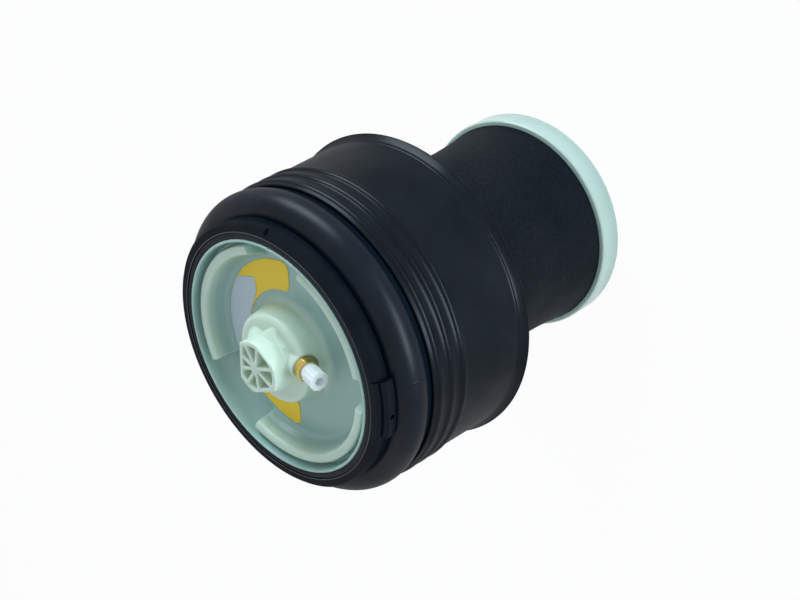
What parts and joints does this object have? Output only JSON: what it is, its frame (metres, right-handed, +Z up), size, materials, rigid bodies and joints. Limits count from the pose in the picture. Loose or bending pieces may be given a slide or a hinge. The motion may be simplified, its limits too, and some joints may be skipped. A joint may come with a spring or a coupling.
{
  "type": "air suspension spring",
  "caption": "Rolling lobe air spring with an outer guide tube, a pale nylon top cap with locating head and side air port, and a black piston on a pale base.",
  "frame": {"origin": "centre of the base's underside, on the spring's axis", "axes": "+Z up along the spring's axis from the base to the top cap; +X is the direction in which the air port points"},
  "size_m": [0.1808, 0.1808, 0.2277],
  "materials": {
    "natural_nylon": "satin injection moulding, slightly translucent pale green",
    "black_plastic": "satin",
    "bellows_rubber": "smooth, slightly shiny",
    "black_coated_metal": "satin black coating on sheet",
    "aluminium": "turned",
    "textured_black_plastic": "fine pebbled grain",
    "steel": "plain",
    "seal_rubber": "smooth",
    "cellular_foam": "closed-cell foam",
    "brass": "turned",
    "clear_plastic": "translucent white",
    "yellow_label": "plain coated paper, no print",
    "white_label": "plain coated paper, no print"
  },
  "bodies": {
    "lower": {"piston_base": "natural_nylon", "base_seal": "seal_rubber", "piston": "textured_black_plastic", "piston_clamp_ring": "steel", "bump_stop": "cellular_foam", "bump_stop_cup": "black_plastic"},
    "guide": {"outer_guide": "black_coated_metal", "support_ring": "aluminium", "bellows_lobe": "bellows_rubber"},
    "fold": {"bellows_fold": "bellows_rubber"},
    "cap": {"top_cap": "natural_nylon", "clamp_ring": "black_plastic", "fitting_body": "brass", "port_seal": "seal_rubber", "tube_seal": "seal_rubber", "grip_ring": "brass", "support_sleeve": "brass", "valve_cage": "black_plastic", "valve_spring": "steel", "label_yellow": "yellow_label", "label_white": "white_label"},
    "plug": {"transport_plug": "clear_plastic"},
    "poppet": {"valve_poppet": "seal_rubber"}
  },
  "joints": [
    {"name": "suspension_travel", "type": "slide", "parent": "lower", "child": "guide", "axis": [0, 0, 1], "range_m": [-0.034, 0.028], "stiffness_N_per_m": 20000, "deforming": ["bellows_lobe", "bump_stop"]},
    {"name": "cap_tilt_x", "type": "hinge", "parent": "guide", "child": "fold", "pos_m": [0, 0, 0.197], "axis": [1, 0, 0], "range_deg": [-3, 3], "stiffness_Nm_per_rad": 40, "deforming": ["bellows_fold"]},
    {"name": "cap_tilt_y", "type": "hinge", "parent": "fold", "child": "cap", "pos_m": [0, 0, 0.197], "axis": [0, 1, 0], "range_deg": [-3, 3], "stiffness_Nm_per_rad": 40},
    {"name": "plug_pull", "type": "slide", "parent": "cap", "child": "plug", "axis": [0.9659, 0, 0.2588], "range_m": [0, 0.015]},
    {"name": "valve_open", "type": "slide", "parent": "cap", "child": "poppet", "axis": [-0.9659, 0, -0.2588], "range_m": [0, 0.0009], "stiffness_N_per_m": 100, "springref_m": -0.002, "deforming": ["valve_spring"]}
  ]
}
